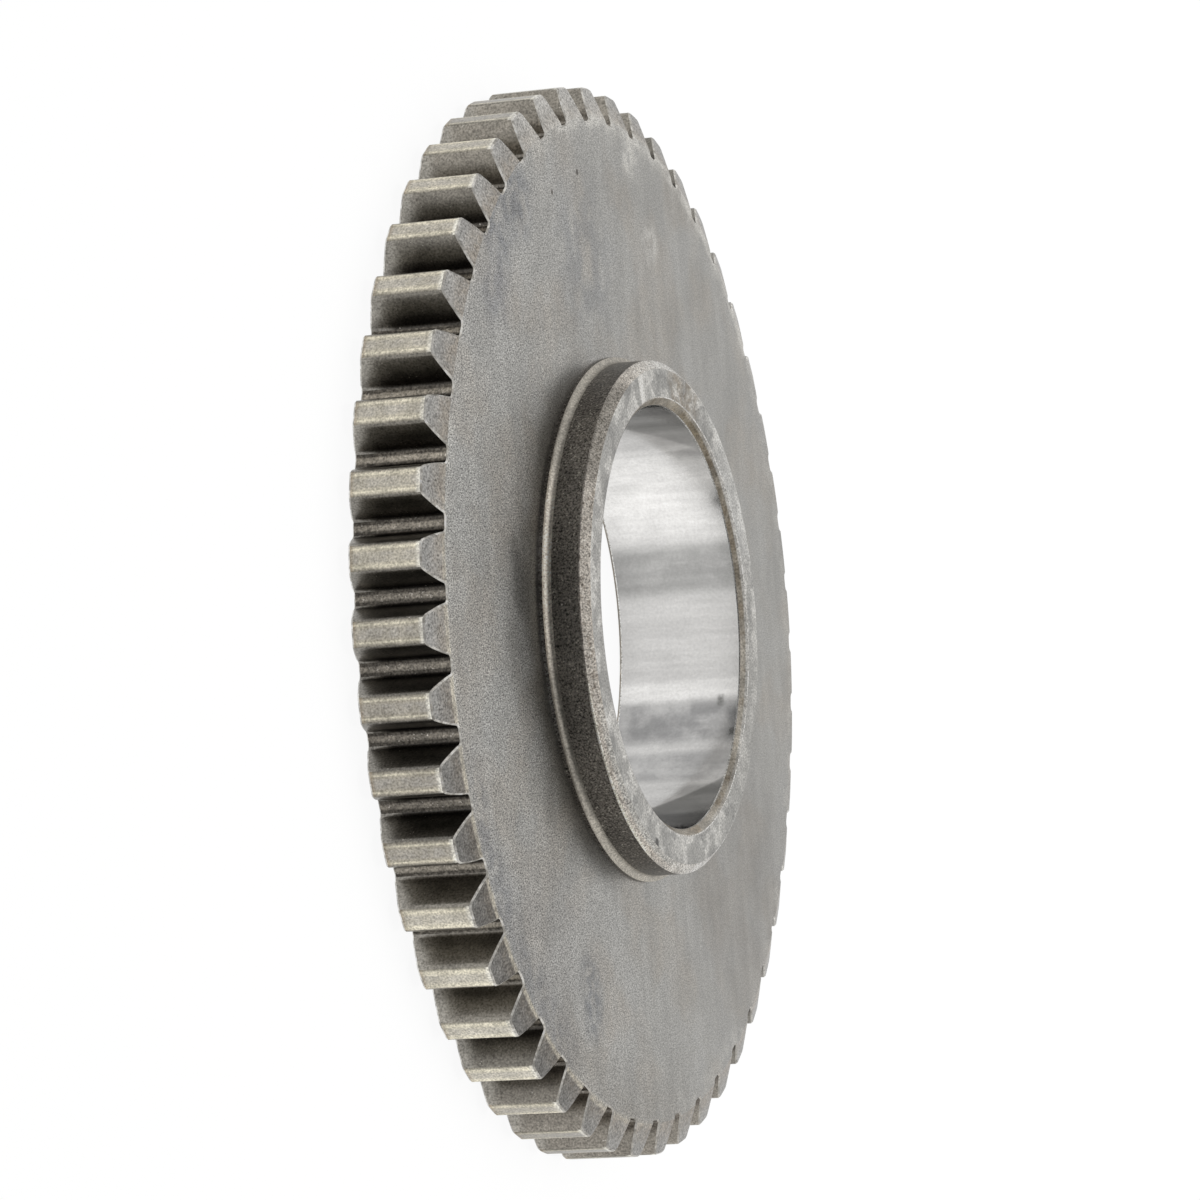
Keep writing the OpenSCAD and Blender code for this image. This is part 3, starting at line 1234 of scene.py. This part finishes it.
@dataclass
class Studio:
    """Floor, light and camera round the wheel. Angles are in degrees and lengths in metres.

    The camera was fitted to the photo. The glows are how white the floor looks to the camera and in the
    steel. The dome goes from its dim to its bright level over a stretch of directions.
    """

    azimuth: float = 30.68341
    elevation: float = 19.98016
    roll: float = 85.79161
    distance: float = 0.7573871
    aim: tuple[float, float, float] = (0.0121706, 0.0037551, 0.0127)
    lens: float = 168.9933
    sensor: float = 36.0
    clip_start: float = 0.01
    floor_size: float = 3.0
    floor_tone: float = 0.8
    floor_roughness: float = 0.9
    floor_glow: float = 0.93
    mirrored_glow: float = 0.75
    dome_direction: tuple[float, float] = (180.0, 45.0)
    dome_stretch: tuple[float, float] = (-0.35, 0.45)
    dome_levels: tuple[float, float] = (0.03, 0.7)
    dome_colour: Colour = (1.0, 0.985, 0.96)
    lamp_direction: tuple[float, float] = (180.0, 75.0)
    lamp_reach: float = 1.2
    lamp_size: float = 1.0
    lamp_power: float = 14.0

    def set_up(self) -> None:
        """Adds everything that isn't part of the wheel."""
        self.floor()
        self.world()
        self.lamp()
        self.camera()
        bpy.context.scene.view_settings.view_transform = "Standard"

    def direction(self, azimuth: float, elevation: float) -> Vector:
        """Unit direction at an angle from the camera's azimuth and above the floor, in degrees."""
        a, e = math.radians(self.azimuth + azimuth), math.radians(elevation)
        return Vector((math.cos(a) * math.cos(e), math.sin(a) * math.cos(e), math.sin(e)))

    def camera(self) -> None:
        """Adds the camera at the photo's viewing angle."""
        data = bpy.data.cameras.new("photo_camera")
        data.lens = self.lens
        data.sensor_width = self.sensor
        data.sensor_fit = "AUTO"
        data.clip_start = self.clip_start
        data.dof.use_dof = False
        camera = bpy.data.objects.new("photo_camera", data)
        bpy.context.scene.collection.objects.link(camera)
        back = self.direction(0.0, self.elevation)
        side_way = Vector(UP).cross(back).normalized()
        up_way = back.cross(side_way)
        turn = Matrix.Rotation(math.radians(self.roll), 3, back)
        frame = Matrix((turn @ side_way, turn @ up_way, back)).transposed().to_4x4()
        frame.translation = Vector(self.aim) + back * self.distance
        camera.matrix_world = frame
        bpy.context.scene.camera = camera

    def floor(self) -> None:
        """Adds the plain pale floor that the wheel lies on."""
        bm = bmesh.new()
        bmesh.ops.create_grid(bm, x_segments=1, y_segments=1, size=self.floor_size / 2)
        mesh = bpy.data.meshes.new("studio_floor")
        bm.to_mesh(mesh)
        bm.free()
        floor = bpy.data.objects.new("studio_floor", mesh)
        bpy.context.scene.collection.objects.link(floor)
        floor.data.materials.append(self.floor_material())

    def floor_material(self) -> bpy.types.Material:
        """Builds the floor's material.

        Returns:
            The material, which keeps the wheel's shadow and looks white to the camera and in the steel.
        """
        mat = bpy.data.materials.new("pale_floor")
        mat.use_nodes = True
        tree = mat.node_tree
        bench = Bench(tree)
        shader = tree.nodes["Principled BSDF"]
        shader.inputs["Base Color"].default_value = (*(self.floor_tone,) * 3, 1.0)
        shader.inputs["Roughness"].default_value = self.floor_roughness
        shader.inputs["Specular IOR Level"].default_value = 0.0
        glow = bench.add("ShaderNodeEmission")
        glow.inputs["Strength"].default_value = 1.0
        path = bench.add("ShaderNodeLightPath")
        seen = bench.math("MULTIPLY", path.outputs["Is Camera Ray"], self.floor_glow)
        mirrored = bench.math("MULTIPLY", path.outputs["Is Glossy Ray"], self.mirrored_glow)
        mix = bench.add("ShaderNodeMixShader")
        bench.feed(mix.inputs["Fac"], bench.math("ADD", seen, mirrored))
        bench.feed(mix.inputs[1], shader.outputs["BSDF"])
        bench.feed(mix.inputs[2], glow.outputs["Emission"])
        bench.feed(tree.nodes["Material Output"].inputs["Surface"], mix.outputs["Shader"])
        return mat

    def world(self) -> None:
        """Lights the scene from a soft dome that is bright behind the wheel and dim on the camera's side."""
        world = bpy.data.worlds.new("studio_dome")
        world.use_nodes = True
        bpy.context.scene.world = world
        tree = world.node_tree
        bench = Bench(tree)
        dome = tree.nodes["Background"]
        white = bench.add("ShaderNodeBackground")
        white.inputs["Color"].default_value = (1, 1, 1, 1)
        place = bench.add("ShaderNodeTexCoord").outputs["Generated"]
        towards_light = bench.vector("DOT_PRODUCT", place, self.direction(*self.dome_direction))
        level = bench.fade(towards_light.outputs["Value"], *self.dome_stretch, *self.dome_levels)
        bench.feed(dome.inputs["Strength"], level)
        dome.inputs["Color"].default_value = (*self.dome_colour, 1.0)
        path = bench.add("ShaderNodeLightPath")
        mix = bench.add("ShaderNodeMixShader")
        bench.feed(mix.inputs["Fac"], path.outputs["Is Camera Ray"])
        bench.feed(mix.inputs[1], dome.outputs["Background"])
        bench.feed(mix.inputs[2], white.outputs["Background"])
        bench.feed(tree.nodes["World Output"].inputs["Surface"], mix.outputs["Shader"])

    def lamp(self) -> None:
        """Adds the soft lamp above and behind the wheel."""
        data = bpy.data.lights.new("top_softbox", "AREA")
        data.shape = "SQUARE"
        data.size = self.lamp_size
        data.energy = self.lamp_power
        lamp = bpy.data.objects.new("top_softbox", data)
        lamp.visible_glossy = False
        bpy.context.scene.collection.objects.link(lamp)
        back = self.direction(*self.lamp_direction)
        facing = back.to_track_quat("Z", "Y").to_matrix().to_4x4()
        lamp.matrix_world = Matrix.Translation(back * self.lamp_reach) @ facing


def main() -> None:
    """Builds the wheel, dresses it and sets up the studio."""
    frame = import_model()
    LOG.info("frame nodes: %s", ", ".join(sorted(frame["nodes"])))
    wheel = SprocketWheel().build()
    for zone in Zone:
        wheel.data.materials.append(FINISHES[zone].material())
    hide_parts("sprocket")
    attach(wheel, "root")
    LOG.info("%s: %d faces", wheel.name, len(wheel.data.polygons))
    Studio().set_up()


if __name__ == "__main__":
    logging.basicConfig(level=logging.INFO)
    main()
